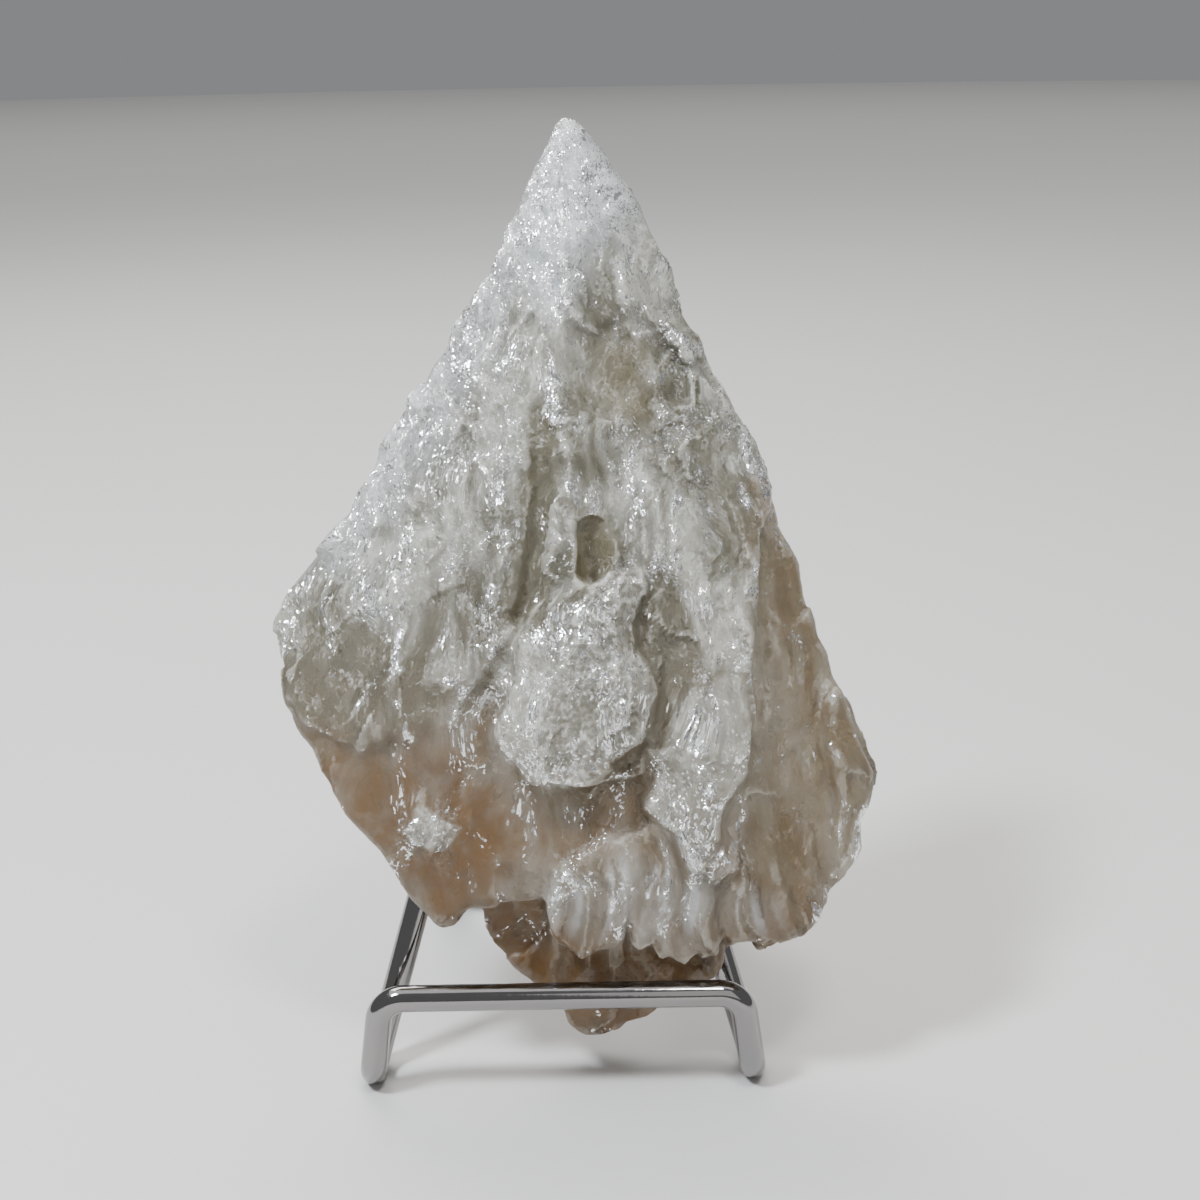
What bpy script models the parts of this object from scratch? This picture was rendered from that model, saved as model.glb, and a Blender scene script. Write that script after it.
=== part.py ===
"""A rough quartz point that leans on a small easel of bent chrome wire.

Metres, +Z up, the front towards -Y. Sizes below are written in millimetres and
scaled by MM. The stone and the easel's two uprights lean back by LEAN.

The stone is drawn in the plane of its own slab: across is to the right, up is
along the lean, and forward is out of the slab towards the viewer. Forward 0 is
the plane through the middle of the easel's two uprights.
"""

from math import atan2, cos, hypot, pi, radians, sin, tan

import bmesh
import bpy
from mathutils import Matrix, Quaternion, Vector, noise

MM = 0.001
LEAN = radians(18.0)
GAP = 0.3
CHROME_COLOUR = (0.78, 0.78, 0.80)
CHROME_ROUGHNESS = 0.08
QUARTZ_COLOUR = (0.66, 0.66, 0.60)
QUARTZ_ROUGHNESS = 0.3

# The easel's wire, with its corners measured at the middle of the wire
WIRE = 3.0
WIRE_SIDES = 12
FLOOR_LINE = WIRE / 2
BAR_HEIGHT = 12.0
BAR_HALF = 20.2
BAR_BEND = 3.0
FOOT_HALF = 21.7
FOOT_FRONT = -3.0
FOOT_BACK = 2.2
FOOT_BEND = 2.9
FOOT_FLAT = 0.06
FLOOR_BLOCK = (200.0, 200.0, 20.0)
UPRIGHT_LENGTH = 62.0
UPRIGHT_INWARD = 0.285
ARCH_BEND = 2.9
LEG_JOIN = 47.0
LEG_REACH = 43.0
LEG_HALF = 17.0
LEG_BEND = 5.0
WELD_BEAD = 2.3
WELD_PLACE = (0.0, 1.2, -0.8)
BEND_STEPS = 6

# The stone is turned a little in its own plane, about its foot
TWIST = radians(1.0)
TWIST_PLACE = (4.4, 8.6)

# The stone's rough surface
VOXEL = 0.6
STONE_TRIANGLES = 7000
SWELL = 0.25
FAN_TOP = (0.5, 118.0)
STRIA_COUNT = 26.0
STRIA_DEPTH = 0.34
STRIA_FULL_REACH = 70.0
STRIA_DRIFT = 0.04
FINE_STRIA_COUNT = 70.0
FINE_STRIA_DEPTH = 0.12
FLUTE_COUNT = 44.0
FLUTE_DEPTH = 0.9
FLUTE_TOP = 28.0
FLUTE_FADE = 8.0
FLUTE_LEFT = -2.0
WARP = 0.6
WARP_SIZE = 3.6
WARP_SEED = 7
HACKLE_DEPTH = 0.4
HACKLE_SIZE = 5.0

# The outer edge of the slab, from the tip down the right side and up the left
OUTLINE = [
    (0.3, 106.4), (1.7, 106.2), (4.2, 102.8), (6.6, 100.4), (8.8, 96.6),
    (10.2, 92.7), (11.7, 90.6), (13.4, 84.9), (15.3, 82.1), (18.4, 75.5),
    (21.8, 68.4), (24.0, 63.2), (24.0, 61.6), (26.3, 56.2), (28.5, 48.6),
    (31.7, 41.0), (34.9, 33.3), (34.9, 31.0), (33.8, 28.4), (33.4, 25.0),
    (31.9, 22.4), (29.6, 19.6), (26.6, 18.0), (14.0, 17.4), (4.0, 19.2),
    (-7.0, 19.2), (-8.4, 18.2), (-10.0, 18.0), (-11.5, 17.1), (-13.2, 16.4),
    (-14.8, 17.3), (-16.6, 18.8), (-19.9, 24.2), (-21.9, 27.0), (-23.6, 28.7),
    (-25.4, 31.5), (-27.1, 35.5), (-29.5, 38.6), (-30.7, 44.0), (-31.7, 50.1),
    (-30.5, 52.2), (-28.4, 55.8), (-25.3, 59.4), (-23.8, 61.6), (-19.6, 70.0),
    (-14.9, 76.9), (-12.5, 81.3), (-10.0, 85.5), (-7.2, 90.3), (-4.7, 96.9),
    (-2.3, 102.2), (-0.9, 105.0),
]

# Corners of the hull whose flat faces slope from the ridge to the edges: across, up, forward
HULL = [
    (0.5, 109.0, 6.8), (3.0, 101.0, 9.0), (0.5, 87.0, 12.4), (-1.0, 70.0, 14.6),
    (5.0, 62.0, 14.4), (-8.0, 47.0, 14.2), (9.0, 45.0, 14.0), (19.0, 52.0, 11.8),
    (-22.0, 47.0, 11.0), (-13.0, 25.0, 10.8), (6.0, 22.0, 11.4), (22.0, 26.0, 10.8),
    (-3.2, 98.0, 8.2), (-13.4, 76.0, 9.8), (-24.5, 57.5, 9.2), (-26.0, 36.0, 9.8),
    (-9.0, 99.0, 3.6), (-18.5, 78.0, 3.6), (-28.5, 62.0, 3.6), (-35.0, 52.0, 5.6),
    (-34.0, 36.0, 6.0), (-26.0, 23.0, 6.0), (-14.0, 13.0, 6.4), (9.0, 103.0, 5.0),
    (18.5, 85.0, 4.6), (27.0, 67.0, 4.6), (32.5, 48.0, 4.8), (39.0, 33.0, 5.4),
    (36.0, 19.0, 6.0), (26.0, 10.0, 6.6), (0.0, 12.0, 6.6), (0.5, 106.0, 2.6),
    (-5.0, 96.0, 1.9), (11.0, 92.0, 1.9), (-26.0, 60.0, 2.0), (-33.0, 48.0, 2.8),
    (-24.0, 24.0, 2.4), (-12.0, 14.0, 2.0), (26.0, 60.0, 2.2), (35.0, 36.0, 2.6),
    (34.0, 22.0, 2.8), (22.0, 15.0, 1.8), (0.0, 14.0, 1.8),
]

# Sheets that lie on the hull: outline, then the lift off it (at 0, per across, per up)
LEFT_SHEET = [
    (-1.6, 88.0), (1.6, 83.0), (-1.4, 77.2), (-4.0, 73.4), (-2.2, 70.5),
    (-2.6, 64.0), (-3.6, 57.6), (-5.2, 51.0), (-6.8, 46.8), (-9.0, 42.5),
    (-11.6, 38.8), (-14.2, 38.2), (-16.0, 36.8), (-18.3, 38.4), (-21.6, 36.2),
    (-24.6, 36.8), (-28.0, 38.8), (-31.2, 42.0), (-33.0, 49.6), (-28.0, 57.6),
    (-23.0, 64.8), (-18.6, 73.0), (-13.6, 80.6), (-7.0, 92.0),
]
RIDGE = [
    (-0.6, 76.5), (2.2, 75.2), (2.8, 69.0), (2.0, 63.8), (1.9, 59.2), (2.4, 55.4),
    (1.4, 53.0), (-1.2, 49.0), (-4.2, 46.2), (-3.4, 51.4), (-1.6, 55.6),
    (-0.8, 61.8), (-0.4, 68.2),
]
LUMP = [
    (7.6, 56.4), (9.3, 54.2), (7.4, 49.4), (9.4, 44.6), (10.4, 42.4), (9.0, 37.5),
    (6.6, 35.4), (3.4, 33.3), (1.0, 31.8), (-1.7, 31.6), (-4.0, 33.2), (-5.8, 36.2),
    (-7.0, 38.2), (-5.2, 42.4), (-3.6, 47.0), (-0.4, 52.4), (2.9, 55.0),
]
LUMP_CREST = [
    (6.6, 54.4), (5.6, 48.6), (7.8, 43.8), (7.0, 38.8), (3.2, 36.4), (-1.8, 35.4),
    (-3.8, 38.8), (-0.8, 44.4), (1.4, 50.4), (3.6, 53.4),
]
RIGHT_SHEET = [
    (13.7, 78.6), (16.4, 77.0), (24.2, 65.6), (22.6, 61.2), (21.4, 57.6),
    (20.8, 51.0), (20.8, 47.6), (20.4, 39.6), (20.8, 36.8), (19.2, 32.2),
    (17.6, 29.2), (16.8, 26.2), (15.4, 22.2), (12.4, 26.2), (9.8, 30.0),
    (10.9, 34.8), (9.8, 40.4), (8.9, 48.0), (10.1, 54.4), (8.3, 61.8), (9.9, 69.4),
]
FRINGE = [
    (-0.9, 19.4), (-0.5, 15.4), (2.2, 12.8), (3.6, 13.9), (5.2, 14.3), (7.2, 17.8),
    (8.9, 13.9), (10.0, 16.6), (11.8, 13.1), (12.4, 15.4), (13.5, 11.7), (14.4, 12.6),
    (15.2, 15.2), (16.4, 13.2), (17.6, 15.8), (19.0, 13.9), (20.7, 15.6), (22.5, 13.4),
    (24.3, 14.3), (25.2, 16.6), (26.4, 16.2), (28.4, 17.2), (29.8, 19.2), (28.0, 25.0),
    (19.0, 27.6), (11.0, 28.0), (3.6, 25.4), (-0.4, 22.6),
]
RIGHT_RIM = [
    (30.2, 43.0), (31.6, 42.8), (36.4, 33.4), (36.3, 30.8), (34.8, 24.4),
    (31.6, 22.0), (30.8, 25.0), (31.4, 29.6), (30.6, 34.0), (30.0, 38.6),
]
UPPER_STEP = [
    (3.4, 92.6), (11.8, 92.0), (14.8, 84.6), (16.4, 81.8), (14.6, 79.0),
    (12.0, 80.2), (9.4, 84.6), (6.0, 85.8),
]
CHIP = [
    (-17.6, 27.0), (-15.2, 30.4), (-14.6, 29.0), (-11.4, 27.4), (-13.4, 26.8),
    (-14.0, 24.6), (-15.6, 26.2), (-16.6, 25.2),
]
SHEETS = {
    "left sheet": (LEFT_SHEET, (0.3, -0.035, 0.0)),
    "ridge": (RIDGE, (3.6, 0.0, -0.040)),
    "lump": (LUMP, (4.5, 0.0, -0.040)),
    "lump crest": (LUMP_CREST, (5.9, 0.0, -0.050)),
    "right sheet": (RIGHT_SHEET, (0.5, 0.165, -0.024)),
    "right rim": (RIGHT_RIM, (1.6, 0.0, 0.0)),
    "upper step": (UPPER_STEP, (13.35, 0.03, -0.150)),
    "chip": (CHIP, (0.8, 0.0, 0.0)),
}
FRINGE_LIFT = (5.4, 0.0, -0.190)

# Flakes lost from the front: outline, then the depth under the hull in the same way
UPPER_WINDOW = [(4.0, 83.0), (8.6, 85.2), (13.6, 80.6), (14.6, 74.4), (8.0, 72.6), (3.6, 77.0)]
TROUGH = [(-3.4, 73.0), (-0.6, 74.0), (-0.9, 62.0), (-1.9, 54.0), (-4.6, 46.0), (-5.4, 51.0), (-3.4, 60.0)]
OLIVE_PIT = [
    (2.0, 61.4), (4.2, 62.0), (5.5, 60.0), (6.1, 57.4), (5.0, 54.8), (2.6, 53.6),
    (1.8, 55.2), (1.5, 58.6),
]
UNDER_LUMP = [(-8.6, 33.0), (9.8, 33.0), (9.5, 30.2), (12.0, 26.4), (9.0, 24.4), (2.0, 22.0), (-4.6, 25.5)]
RIGHT_SLOT = [(21.2, 57.0), (22.8, 57.4), (23.8, 50.0), (22.8, 42.0), (21.2, 36.6), (20.6, 47.0)]
MIDDLE_DIP = [(4.6, 72.0), (8.2, 71.0), (9.0, 61.0), (8.2, 55.0), (5.6, 55.6), (4.0, 63.0)]
FLAKES = {
    "upper window": (UPPER_WINDOW, (3.9, 0.0, -0.058)),
    "trough": (TROUGH, (-0.8, 0.0, 0.0)),
    "olive pit": (OLIVE_PIT, (-1.9, 0.0, 0.0)),
    "under the lump": (UNDER_LUMP, (1.6, -0.05, -0.075)),
    "middle dip": (MIDDLE_DIP, (3.4, 0.0, -0.065)),
    "right slot": (RIGHT_SLOT, (-0.7, 0.0, 0.0)),
}
FLAKE_REACH = 40.0
BACK_REACH = -4.0
SHEET_BASE = 4.6

# The rear layer, which runs down behind the bar as a tongue and thins to its end
TONGUE = [
    (-8.6, 23.0), (-8.5, 16.0), (-7.4, 13.5), (-6.1, 12.8), (-5.2, 10.4),
    (-2.5, 8.2), (0.6, 6.2), (0.9, 4.2), (2.5, 2.9), (4.4, 2.8), (6.3, 3.5),
    (9.3, 4.6), (12.4, 6.5), (15.2, 8.8), (17.6, 10.8), (20.2, 14.0),
    (24.0, 17.4), (22.0, 25.0), (4.0, 27.0),
]
TONGUE_FRONT = (2.6, 0.0, 0.14)
TONGUE_BACK = (-3.6, 0.0, 0.27)

# Shallow flakes lost from the stone's back: outline and the depth left
UPPER_BACK = [(-4.0, 97.0), (2.0, 98.0), (7.0, 88.0), (4.0, 72.0), (-6.0, 70.0), (-12.0, 77.0)]
LEFT_BACK = [(-30.0, 53.0), (-24.0, 58.0), (-19.0, 50.0), (-21.0, 37.0), (-29.0, 38.0)]
MIDDLE_BACK = [(-9.0, 44.0), (1.0, 47.0), (8.0, 38.0), (6.0, 28.0), (-6.0, 27.0), (-12.0, 33.0)]
RIGHT_BACK = [(22.0, 44.0), (29.0, 44.0), (33.0, 32.0), (29.0, 22.0), (22.0, 25.0)]
BACK_FLAKES = {
    "upper back flake": (UPPER_BACK, 3.0),
    "left back flake": (LEFT_BACK, 3.1),
    "middle back flake": (MIDDLE_BACK, 2.9),
    "right back flake": (RIGHT_BACK, 3.1),
}


def clear_scene():
    for stale in list(bpy.data.objects):
        bpy.data.objects.remove(stale, do_unlink=True)


def make_collection(name):
    made = bpy.data.collections.new(name)
    bpy.context.scene.collection.children.link(made)
    return made


def make_material(name, colour, roughness, metallic):
    made = bpy.data.materials.new(name)
    made.use_nodes = True
    shader = made.node_tree.nodes["Principled BSDF"]
    shader.inputs["Base Color"].default_value = (*colour, 1.0)
    shader.inputs["Roughness"].default_value = roughness
    shader.inputs["Metallic"].default_value = metallic
    return made


def add_object(name, data, collection, material=None):
    made = bpy.data.objects.new(name, data)
    collection.objects.link(made)
    if material is not None:
        data.materials.append(material)
    return made


def add_helper(name, data, collection):
    """A shape that only cuts or joins another, left out of the model."""
    made = add_object(name, data, collection)
    made.hide_render = True
    made.display_type = "WIRE"
    return made


def mesh_of(name, shape):
    """A mesh from a bmesh, with its faces pointing out."""
    bmesh.ops.recalc_face_normals(shape, faces=shape.faces)
    mesh = bpy.data.meshes.new(name)
    shape.to_mesh(mesh)
    shape.free()
    return mesh


def upright_place(length):
    """A point of the right upright's middle line, this far up from where it meets the floor line."""
    foot = Vector((FOOT_HALF, FOOT_BACK, FLOOR_LINE))
    return foot + Vector((-UPRIGHT_INWARD, sin(LEAN), cos(LEAN))) * length


def rounded(before, corner, after, radius):
    """Points of the arc that rounds a corner of the wire."""
    into, out = (before - corner).normalized(), (after - corner).normalized()
    half = into.angle(out) / 2
    middle = corner + (into + out).normalized() * (radius / sin(half))
    start = corner + into * (radius / tan(half)) - middle
    turn = Quaternion(into.cross(out), -(pi - 2 * half) / BEND_STEPS)
    arc = [middle + start]
    for _ in range(BEND_STEPS):
        start = turn @ start
        arc.append(middle + start)
    return arc


def wire_path(places, radii):
    """The wire's middle line through its corners, each rounded, from the first place to the last."""
    path = [places[0]]
    for before, corner, after, radius in zip(places, places[1:], places[2:], radii):
        path += rounded(before, corner, after, radius)
    return path + [places[-1]]


def front_loop_path():
    """The right half of the front loop, from the middle of the bar to the top of the arch."""
    arch = upright_place(UPRIGHT_LENGTH)
    places = [
        Vector((0, FOOT_FRONT, BAR_HEIGHT)),
        Vector((BAR_HALF, FOOT_FRONT, BAR_HEIGHT)),
        Vector((FOOT_HALF, FOOT_FRONT, FLOOR_LINE)),
        upright_place(0),
        arch,
        Vector((0, arch.y, arch.z)),
    ]
    return wire_path(places, [BAR_BEND, FOOT_BEND, FOOT_BEND, ARCH_BEND])


def back_leg_path():
    """The right half of the back leg, from its weld on the upright to the middle of its floor bar."""
    corner = Vector((LEG_HALF, LEG_REACH, FLOOR_LINE))
    end = Vector((0, LEG_REACH, FLOOR_LINE))
    return wire_path([upright_place(LEG_JOIN), corner, end], [LEG_BEND])


def wire_mesh(name, half_path, closed, collection, radius=WIRE / 2):
    """A wire along a path and its mirror image, as a welded mesh."""
    other = [Vector((-p.x, p.y, p.z)) for p in reversed(half_path)]
    if closed:
        path = half_path + other[1:-1]
    else:
        path = half_path + other[1:]
    curve = bpy.data.curves.new(name + " line", "CURVE")
    curve.dimensions = "3D"
    curve.bevel_depth = radius * MM
    curve.bevel_resolution = (WIRE_SIDES - 4) // 2
    curve.use_fill_caps = True
    spline = curve.splines.new("POLY")
    spline.points.add(len(path) - 1)
    for point, place in zip(spline.points, path):
        point.co = (*(place * MM), 1.0)
    spline.use_cyclic_u = closed
    line = add_object(name + " line", curve, collection)
    bpy.context.view_layer.update()
    graph = bpy.context.evaluated_depsgraph_get()
    mesh = bpy.data.meshes.new_from_object(line.evaluated_get(graph))
    bpy.data.objects.remove(line)
    shape = bmesh.new()
    shape.from_mesh(mesh)
    bmesh.ops.remove_doubles(shape, verts=shape.verts, dist=1e-6)
    bpy.data.meshes.remove(mesh)
    return mesh_of(name, shape)


def boolean(target, tool, operation):
    modifier = target.modifiers.new(tool.name, "BOOLEAN")
    modifier.operation = operation
    modifier.solver = "EXACT"
    modifier.object = tool


def floor_block(collection):
    """Everything under the floor, so that the wire stands on narrow flats."""
    shape = bmesh.new()
    bmesh.ops.create_cube(shape, size=1.0)
    bmesh.ops.scale(shape, vec=Vector(FLOOR_BLOCK) * MM, verts=shape.verts)
    top = FOOT_FLAT - FLOOR_BLOCK[2] / 2
    bmesh.ops.translate(shape, vec=(0, 0, top * MM), verts=shape.verts)
    return add_helper("floor", mesh_of("floor", shape), collection)


def weld_bead(side, collection):
    shape = bmesh.new()
    bmesh.ops.create_icosphere(shape, subdivisions=2, radius=WELD_BEAD * MM)
    place = upright_place(LEG_JOIN) + Vector(WELD_PLACE)
    place.x *= side
    bmesh.ops.translate(shape, vec=place * MM, verts=shape.verts)
    return add_helper(f"weld bead {side}", mesh_of("weld bead", shape), collection)


def build_easel(root, collection, cutters):
    chrome = make_material("chrome", CHROME_COLOUR, CHROME_ROUGHNESS, 1.0)
    floor = floor_block(cutters)
    loop_path = front_loop_path()
    loop_wire = wire_mesh("front loop", loop_path, True, cutters)
    loop = add_object("easel_front_loop", loop_wire, collection, chrome)
    boolean(loop, floor, "DIFFERENCE")
    leg_wire = wire_mesh("back leg", back_leg_path(), False, cutters)
    leg = add_object("easel_back_leg", leg_wire, collection, chrome)
    for side in (-1, 1):
        boolean(leg, weld_bead(side, cutters), "UNION")
    clearance = wire_mesh("loop clearance", loop_path, True, cutters, WIRE / 2 + GAP)
    keep_clear = add_helper("loop clearance", clearance, cutters)
    boolean(leg, keep_clear, "DIFFERENCE")
    boolean(leg, floor, "DIFFERENCE")
    for piece in (loop, leg, *cutters.objects):
        piece.parent = root
    for piece in (loop, leg):
        piece.data.shade_smooth()
    return keep_clear


def slab_point(across, up, forward):
    return Vector((across, -forward, up)) * MM


def plane_at(plane, across, up):
    start, per_across, per_up = plane
    return start + per_across * across + per_up * up


def block_mesh(name, outline, back, front):
    """An outline in the slab's plane, drawn forward from a tilted back plane to a front one."""
    shape = bmesh.new()
    corners = [shape.verts.new(slab_point(a, u, plane_at(back, a, u))) for a, u in outline]
    raised = bmesh.ops.extrude_face_region(shape, geom=[shape.faces.new(corners)])["geom"]
    for vertex in (item for item in raised if isinstance(item, bmesh.types.BMVert)):
        vertex.co.y = -plane_at(front, vertex.co.x / MM, vertex.co.z / MM) * MM
    return mesh_of(name, shape)


def hull_mesh(name, lift):
    """The hull, moved forward by a lift that may change across it and up it."""
    shape = bmesh.new()
    for across, up, forward in HULL:
        shape.verts.new(slab_point(across, up, forward + plane_at(lift, across, up)))
    bmesh.ops.convex_hull(shape, input=shape.verts)
    loose = [vertex for vertex in shape.verts if not vertex.link_faces]
    bmesh.ops.delete(shape, geom=loose, context="VERTS")
    return mesh_of(name, shape)


def fan_place(across, up):
    """Where a point lies in the fan of growth lines that spreads down from above the tip."""
    dx, dy = across - FAN_TOP[0], FAN_TOP[1] - up
    return atan2(dx, dy), hypot(dx, dy)


def ramp(value, width):
    return min(max(value / width, 0.0), 1.0)


def growth_lines(turn, reach, count):
    """Lines that follow the fan, this many to a radian, slowly changing along their length."""
    return noise.noise(Vector((turn * count, reach * STRIA_DRIFT, count)))


def roughness_at(place):
    """How far the broken surface stands out at a point in millimetres: growth lines and hackle."""
    turn, reach = fan_place(place.x, place.z)
    coarse = growth_lines(turn, reach, STRIA_COUNT)
    fine = growth_lines(turn, reach, FINE_STRIA_COUNT)
    flute = growth_lines(turn, reach, FLUTE_COUNT)
    fluted = ramp(FLUTE_TOP - place.z, FLUTE_FADE) * ramp(place.x - FLUTE_LEFT, 1.0)
    hackle = noise.fractal(place / HACKLE_SIZE, 1.0, 2.0, 3)
    lines = (STRIA_DEPTH * coarse + FINE_STRIA_DEPTH * fine) * ramp(reach, STRIA_FULL_REACH)
    grown = lines + FLUTE_DEPTH * fluted * flute
    return SWELL + grown + HACKLE_DEPTH * hackle


def warp_at(place):
    """A small shift within the slab's plane, which makes the straight ledges wander."""
    shift = noise.noise_vector(place / WARP_SIZE)
    return Vector((shift.x, 0.0, shift.z)) * WARP


def roughen(mesh):
    shape = bmesh.new()
    shape.from_mesh(mesh)
    shape.normal_update()
    moves = []
    for vertex in shape.verts:
        place = vertex.co / MM
        moves.append((vertex, vertex.normal * roughness_at(place) + warp_at(place)))
    for vertex, move in moves:
        vertex.co += move * MM
    shape.to_mesh(mesh)
    shape.free()


def trimmed_block(name, outline, lift, trim, cutters):
    """A block over an outline, kept below or above the lifted hull."""
    far, base = (FLAKE_REACH, 0.0, 0.0), (SHEET_BASE, 0.0, 0.0)
    piece = add_helper(name, block_mesh(name, outline, base, far), cutters)
    boolean(piece, add_helper(name + " hull", hull_mesh(name, lift), cutters), trim)
    return piece


def join_stone(cutters):
    """The slab with its sheets, flakes and tongue as one closed mesh of even small faces."""
    far, near = (FLAKE_REACH, 0.0, 0.0), (BACK_REACH, 0.0, 0.0)
    slab = add_helper("slab", hull_mesh("slab", (0.0, 0.0, 0.0)), cutters)
    for name, (outline, lift) in SHEETS.items():
        boolean(slab, trimmed_block(name, outline, lift, "INTERSECT", cutters), "UNION")
    for name, (outline, lift) in FLAKES.items():
        boolean(slab, trimmed_block(name, outline, lift, "DIFFERENCE", cutters), "DIFFERENCE")
    edge = add_helper("outer edge", block_mesh("outer edge", OUTLINE, near, far), cutters)
    boolean(slab, edge, "INTERSECT")
    boolean(slab, trimmed_block("fringe", FRINGE, FRINGE_LIFT, "INTERSECT", cutters), "UNION")
    tongue = add_helper("tongue", block_mesh("tongue", TONGUE, TONGUE_BACK, TONGUE_FRONT), cutters)
    boolean(slab, tongue, "UNION")
    for name, (outline, depth) in BACK_FLAKES.items():
        flake = add_helper(name, block_mesh(name, outline, near, (depth, 0.0, 0.0)), cutters)
        boolean(slab, flake, "DIFFERENCE")
    remesh = slab.modifiers.new("even faces", "REMESH")
    remesh.mode = "VOXEL"
    remesh.voxel_size = VOXEL * MM
    bpy.context.view_layer.update()
    graph = bpy.context.evaluated_depsgraph_get()
    return bpy.data.meshes.new_from_object(slab.evaluated_get(graph))


def build_stone(root, collection, cutters, keep_clear):
    quartz = make_material("quartz", QUARTZ_COLOUR, QUARTZ_ROUGHNESS, 0.0)
    mesh = join_stone(cutters)
    roughen(mesh)
    stone = add_object("quartz_point", mesh, collection, quartz)
    lean = bpy.data.objects.new("lean of the stone", None)
    collection.objects.link(lean)
    lean.parent = root
    stand = Matrix.Translation(Vector((0, FOOT_BACK, FLOOR_LINE)) * MM)
    middle = slab_point(*TWIST_PLACE, 0.0)
    twist = Matrix.Translation(middle) @ Matrix.Rotation(TWIST, 4, "Y") @ Matrix.Translation(-middle)
    lean.matrix_basis = stand @ Matrix.Rotation(-LEAN, 4, "X") @ twist
    stone.parent = lean
    thin = stone.modifiers.new("fewer faces", "DECIMATE")
    thin.ratio = STONE_TRIANGLES / (2 * len(mesh.polygons))
    boolean(stone, keep_clear, "DIFFERENCE")


def centre_on_floor(root, pieces):
    """Moves the root so that the whole object's box is centred on the origin and stands on Z 0."""
    bpy.context.view_layer.update()
    graph = bpy.context.evaluated_depsgraph_get()
    corners = []
    for piece in pieces:
        seen = piece.evaluated_get(graph)
        corners += [seen.matrix_world @ vertex.co for vertex in seen.data.vertices]
    low = [min(corner[axis] for corner in corners) for axis in range(3)]
    high = [max(corner[axis] for corner in corners) for axis in range(3)]
    root.location = (-(low[0] + high[0]) / 2, -(low[1] + high[1]) / 2, -low[2])


def main():
    noise.seed_set(WARP_SEED)
    clear_scene()
    model = make_collection("quartz point on wire easel")
    cutters = make_collection("cutters")
    root = bpy.data.objects.new("root", None)
    model.objects.link(root)
    keep_clear = build_easel(root, model, cutters)
    build_stone(root, model, cutters, keep_clear)
    pieces = [obj for obj in model.objects if obj.type == "MESH"]
    centre_on_floor(root, pieces)


main()
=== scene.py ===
"""Looks for a rough quartz point that leans on a small easel of chrome wire.

The file is laid out as an add-on and is run as a script. Lengths inside the
functions are millimetres of the real object, turned into metres by MM. The
stone is worked on in the plane of its own slab, which leans back with the
easel: across is to the right, up is along the lean, and forward is out of the
slab towards the viewer.
"""

import bmesh
import bpy
import numpy as np
from math import cos, pi, radians, sin, tan
from mathutils import Matrix, Quaternion, Vector, noise


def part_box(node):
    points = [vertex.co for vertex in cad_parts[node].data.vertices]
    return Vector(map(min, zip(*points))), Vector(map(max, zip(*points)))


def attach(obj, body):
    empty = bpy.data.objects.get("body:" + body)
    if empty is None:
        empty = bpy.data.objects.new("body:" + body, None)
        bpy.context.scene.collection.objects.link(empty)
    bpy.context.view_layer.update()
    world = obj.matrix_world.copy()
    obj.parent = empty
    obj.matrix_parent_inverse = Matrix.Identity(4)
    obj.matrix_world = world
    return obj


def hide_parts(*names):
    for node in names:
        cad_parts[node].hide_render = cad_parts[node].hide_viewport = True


bl_info = {
    "name": "Quartz point on wire easel",
    "version": (1, 0, 0),
    "blender": (4, 5, 0),
    "location": "View3D > Sidebar > Quartz",
    "description": "Dresses a rough quartz point and its chrome easel",
    "category": "Object",
}

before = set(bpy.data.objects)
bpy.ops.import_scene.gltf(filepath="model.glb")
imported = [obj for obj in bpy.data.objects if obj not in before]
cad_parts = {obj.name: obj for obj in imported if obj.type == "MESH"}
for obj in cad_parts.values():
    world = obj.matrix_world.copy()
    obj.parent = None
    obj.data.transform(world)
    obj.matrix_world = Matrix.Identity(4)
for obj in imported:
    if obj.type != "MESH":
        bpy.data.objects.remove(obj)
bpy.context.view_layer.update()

MM = 0.001
LEAN = radians(18.0)
TWIST = radians(1.0)
TWIST_PLACE = (4.4, 8.6)
WIRE = 3.0
FLOOR_LINE = WIRE / 2
BAR_HEIGHT = 12.0
BAR_HALF = 20.2
BAR_BEND = 3.0
FOOT_HALF = 21.7
FOOT_FRONT = -3.0
FOOT_BACK = 2.2
FOOT_BEND = 2.9
FOOT_FLAT = 0.06
UPRIGHT_LENGTH = 62.0
UPRIGHT_INWARD = 0.285
ARCH_BEND = 2.9
LEG_JOIN = 47.0
LEG_REACH = 43.0
LEG_HALF = 17.0
LEG_BEND = 5.0
WELD_PLACE = (0.0, 1.2, -0.8)
BEND_STEPS = 16
WIRE_SIDES = 32

FAN_TOP = (0.5, 118.0)
FAN_RADIUS = 60.0
FAN_STRETCH = 0.6
FAN_WANDER = 1.7
FAN_WANDER_SIZE = 7.0
WIRE_CLEARANCE = 0.12
PIT_FILL = 1.5
NOISE_SEED = 3
EASE_ROUNDS = 2
EASE_SHARES = (0.5, -0.52)
RELIEF_ROUNDS = 5
RELIEF_UNIT = 0.14

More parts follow.
